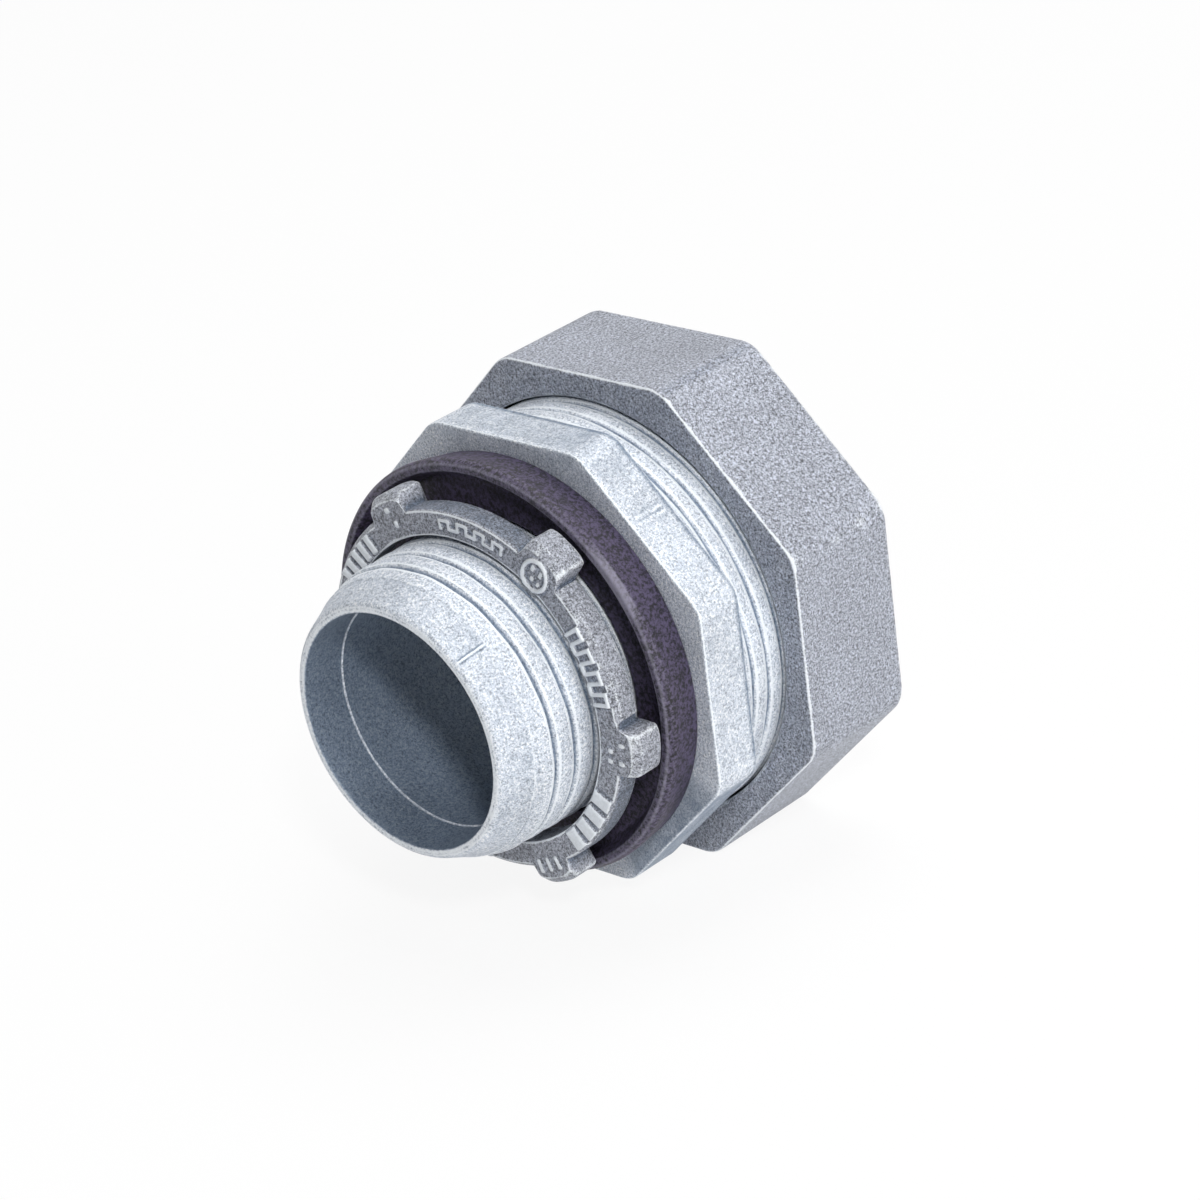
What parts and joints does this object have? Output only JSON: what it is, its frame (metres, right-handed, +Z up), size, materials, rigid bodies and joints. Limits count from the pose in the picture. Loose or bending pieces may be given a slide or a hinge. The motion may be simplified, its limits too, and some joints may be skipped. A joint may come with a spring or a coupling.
{
  "type": "liquidtight conduit connector",
  "caption": "Straight liquidtight connector for flexible metal conduit: threaded nose with lugged locknut and gasket, octagonal collar, and octagonal compression nut over a gland ring.",
  "frame": {"origin": "on the bore's axis, in the shoulder face of the collar that the gasket lies on", "axes": "+X along the axis out of the threaded nose, +Z up with a flat of each octagon on top, Y across"},
  "size_m": [0.0303, 0.0342, 0.0342],
  "materials": {
    "zinc_body": "satin, as die cast",
    "zinc_nut": "satin, as die cast",
    "zinc_locknut": "satin, as die cast",
    "gasket_rubber": "matt",
    "nylon": "matt",
    "plated_steel": "zinc plated"
  },
  "bodies": {
    "fitting": {"body": "zinc_body", "gasket": "gasket_rubber", "ferrule": "plated_steel"},
    "gland": {"sealing_ring": "nylon"},
    "nut": {"compression_nut": "zinc_nut"},
    "locknut": {"locknut": "zinc_locknut"}
  },
  "joints": [
    {"name": "gland_slide", "type": "slide", "parent": "fitting", "child": "gland", "axis": [-1, 0, 0], "range_m": [0, 0.0045]},
    {"name": "nut_turn", "type": "hinge", "parent": "gland", "child": "nut", "pos_m": [-0.0125, 0, 0], "axis": [-1, 0, 0], "range_deg": [0, 1080]},
    {"name": "locknut_off", "type": "slide", "parent": "fitting", "child": "locknut", "axis": [1, 0, 0], "range_m": [0, 0.012]}
  ],
  "couplings": [
    {"joint": "gland_slide", "follows": "nut_turn", "m_per_rad": 0.00023873}
  ]
}
